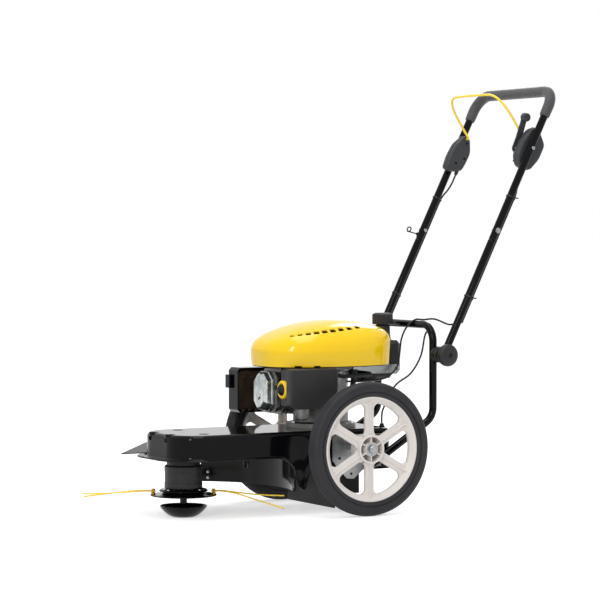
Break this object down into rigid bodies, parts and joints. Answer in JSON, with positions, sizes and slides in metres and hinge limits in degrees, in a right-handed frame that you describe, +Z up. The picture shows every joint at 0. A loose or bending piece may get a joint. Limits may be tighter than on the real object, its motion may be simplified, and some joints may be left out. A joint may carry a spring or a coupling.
{
  "type": "walk-behind petrol string trimmer mower",
  "caption": "Walk-behind petrol string trimmer on two spoked wheels, with a black pressed deck, a yellow engine shroud and a folding tubular handle.",
  "frame": {"origin": "on the ground, under the middle of the machine's box without the trimmer lines", "axes": "+Y points back to the person who pushes the machine, -Y is the way it is pushed; +X is the machine's left; +Z is up"},
  "size_m": [0.5242, 1.3139, 1.1568],
  "materials": {
    "black_paint": "gloss powder coat",
    "shroud_yellow": "gloss moulding",
    "bail_yellow": "dipped gloss coat on steel rod",
    "dark_plastic": "fine spark-eroded grain",
    "grey_plastic": "satin moulding",
    "wheel_plastic": "satin moulding",
    "tyre_rubber": "matt, with tread blocks",
    "black_rubber": "matt",
    "foam": "closed-cell foam, matt",
    "zinc_plate": "zinc plated, satin",
    "cast_alloy": "as cast",
    "bright_steel": "turned",
    "muffler_steel": "dull heat-stained steel",
    "line_nylon": "drawn nylon, slightly glossy"
  },
  "bodies": {
    "chassis": {"deck": "black_paint", "side_plate": "black_paint", "string_guard": "dark_plastic", "rear_flap": "black_rubber", "hoop_frame": "black_paint", "axle_plate_left": "zinc_plate", "axle_plate_right": "zinc_plate", "spindle_housing": "dark_plastic", "drive_belt": "black_rubber", "engine_block": "cast_alloy", "valve_cover": "cast_alloy", "blower_base": "black_paint", "engine_shroud": "shroud_yellow", "ignition_coil": "dark_plastic", "spark_plug": "black_rubber", "air_cleaner_base": "dark_plastic", "air_cleaner_cover": "dark_plastic", "primer_ring": "shroud_yellow", "carburettor": "cast_alloy", "muffler": "muffler_steel", "muffler_guard": "black_paint", "fuel_tank": "dark_plastic", "tank_bracket": "zinc_plate", "oil_filler": "bright_steel", "breather_hose": "black_rubber", "throttle_cable": "black_rubber", "clutch_cable": "black_rubber"},
    "wheel_left": {"tyre_left": "tyre_rubber", "rim_left": "wheel_plastic"},
    "wheel_right": {"tyre_right": "tyre_rubber", "rim_right": "wheel_plastic"},
    "crank": {"crankshaft": "bright_steel", "flywheel": "cast_alloy", "drive_pulley": "cast_alloy"},
    "line_head": {"spindle_shaft": "bright_steel", "driven_pulley": "cast_alloy", "head_plate": "black_paint", "head_disc": "black_paint", "trimmer_line_front": "line_nylon", "trimmer_line_rear": "line_nylon"},
    "dish": {"ground_dish": "black_paint"},
    "pull_grip": {"starter_grip": "black_rubber"},
    "rope_drum": {"starter_pulley": "dark_plastic"},
    "handle": {"lower_tube_left": "black_paint", "lower_tube_right": "black_paint", "upper_handle": "black_paint", "foam_grip": "foam", "lever_housing": "grey_plastic", "bail_housing": "grey_plastic", "upper_cable_left": "black_rubber", "upper_cable_right": "black_rubber"},
    "bail_rod": {"bail": "bail_yellow"},
    "speed_lever": {"throttle_lever": "dark_plastic"},
    "governor": {"governor_arm": "zinc_plate"},
    "tension_arm": {"idler_arm": "zinc_plate"},
    "tension_wheel": {"idler_pulley": "dark_plastic"},
    "clamp_left": {"knob_left": "dark_plastic"},
    "clamp_right": {"knob_right": "dark_plastic"},
    "tank_cap": {"fuel_cap": "dark_plastic"},
    "primer": {"primer_bulb": "black_rubber"}
  },
  "joints": [
    {"name": "wheel_left_spin", "type": "hinge", "parent": "chassis", "child": "wheel_left", "pos_m": [0.2346, -0.047, 0.178], "axis": [1, 0, 0], "continuous": true},
    {"name": "wheel_right_spin", "type": "hinge", "parent": "chassis", "child": "wheel_right", "pos_m": [-0.2346, -0.047, 0.178], "axis": [1, 0, 0], "continuous": true},
    {"name": "crank_spin", "type": "hinge", "parent": "chassis", "child": "crank", "pos_m": [0, -0.059, 0.2225], "axis": [0, 0, 1], "continuous": true},
    {"name": "head_spin", "type": "hinge", "parent": "chassis", "child": "line_head", "pos_m": [0, -0.477, 0.0686], "axis": [0, 0, 1], "continuous": true},
    {"name": "dish_spin", "type": "hinge", "parent": "line_head", "child": "dish", "pos_m": [0, -0.477, 0], "axis": [0, 0, 1], "continuous": true},
    {"name": "starter_pull", "type": "slide", "parent": "chassis", "child": "pull_grip", "axis": [0, 0.6198, 0.7848], "range_m": [0, 0.55], "stiffness_N_per_m": 12},
    {"name": "starter_spin", "type": "hinge", "parent": "chassis", "child": "rope_drum", "pos_m": [0, -0.059, 0.4479], "axis": [0, 0, 1], "range_deg": [0, 1055]},
    {"name": "handle_fold", "type": "hinge", "parent": "chassis", "child": "handle", "pos_m": [0, 0.2185, 0.418], "axis": [1, 0, 0], "range_deg": [0, 110]},
    {"name": "bail_squeeze", "type": "hinge", "parent": "handle", "child": "bail_rod", "pos_m": [0, 0.5106, 1.0166], "axis": [1, 0, 0], "range_deg": [-55, 0], "stiffness_Nm_per_rad": 0.8},
    {"name": "throttle", "type": "hinge", "parent": "handle", "child": "speed_lever", "pos_m": [0.1462, 0.4819, 0.9818], "axis": [1, 0, 0], "range_deg": [0, 50]},
    {"name": "governor_swing", "type": "hinge", "parent": "chassis", "child": "governor", "pos_m": [0.0918, -0.061, 0.3405], "axis": [1, 0, 0], "range_deg": [0, 25]},
    {"name": "idler_swing", "type": "hinge", "parent": "chassis", "child": "tension_arm", "pos_m": [0.085, -0.2607, 0.2225], "axis": [0, 0, 1], "range_deg": [0, 4.2]},
    {"name": "idler_spin", "type": "hinge", "parent": "tension_arm", "child": "tension_wheel", "pos_m": [0.064, -0.187, 0.188], "axis": [0, 0, 1], "continuous": true},
    {"name": "clamp_left_turn", "type": "hinge", "parent": "handle", "child": "clamp_left", "pos_m": [0.1978, 0.2185, 0.418], "axis": [1, 0, 0], "continuous": true},
    {"name": "clamp_right_turn", "type": "hinge", "parent": "handle", "child": "clamp_right", "pos_m": [-0.1978, 0.2185, 0.418], "axis": [1, 0, 0], "continuous": true},
    {"name": "cap_turn", "type": "hinge", "parent": "chassis", "child": "tank_cap", "pos_m": [-0.04, 0.1625, 0.4945], "axis": [0, 0, 1], "continuous": true},
    {"name": "primer_push", "type": "slide", "parent": "chassis", "child": "primer", "axis": [0, 1, 0], "range_m": [0, 0.004], "stiffness_N_per_m": 200}
  ],
  "couplings": [
    {"joint": "head_spin", "follows": "crank_spin", "ratio": 0.762},
    {"joint": "starter_spin", "follows": "starter_pull", "rad_per_m": 33.3},
    {"joint": "governor_swing", "follows": "throttle", "ratio": 0.5},
    {"joint": "idler_swing", "follows": "bail_squeeze", "ratio": -0.0727}
  ]
}
